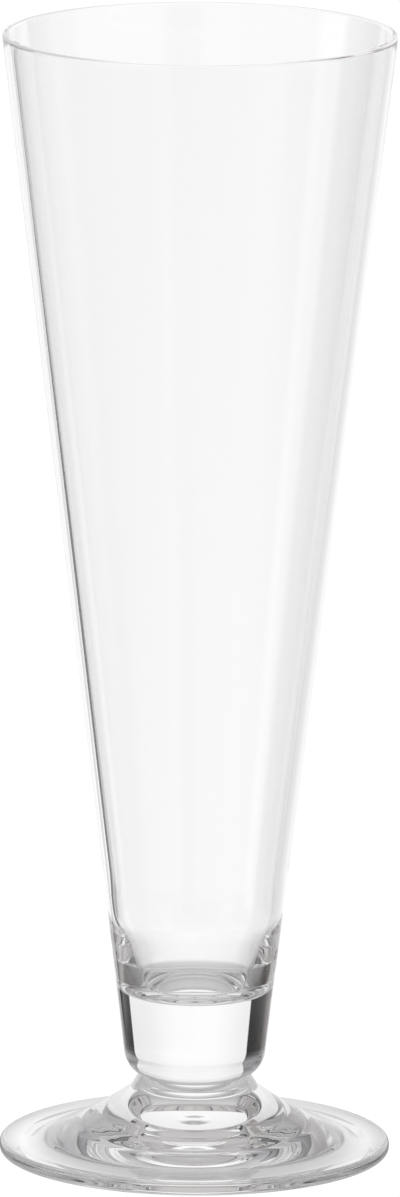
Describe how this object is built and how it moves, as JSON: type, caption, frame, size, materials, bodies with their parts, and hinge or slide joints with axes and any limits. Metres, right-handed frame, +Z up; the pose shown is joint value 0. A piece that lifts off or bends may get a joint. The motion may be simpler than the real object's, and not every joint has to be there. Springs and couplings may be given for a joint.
{
  "type": "pilsner glass",
  "caption": "Tall footed beer glass: a straight cone of clear glass on a heavy solid base, a short stem and a flared round foot.",
  "frame": {"origin": "centre of the foot's resting ring, on the table", "axes": "+Z up along the axis of the glass, towards the rim; X and Y are any two directions across it"},
  "size_m": [0.0776, 0.0776, 0.225],
  "materials": {
    "foot_glass": "clear pressed glass, fire polished",
    "stem_glass": "clear glass, fire polished",
    "bowl_glass": "clear blown glass, fire polished lip"
  },
  "bodies": {
    "root": {"foot": "foot_glass", "stem_button": "stem_glass", "bowl": "bowl_glass"}
  },
  "joints": []
}
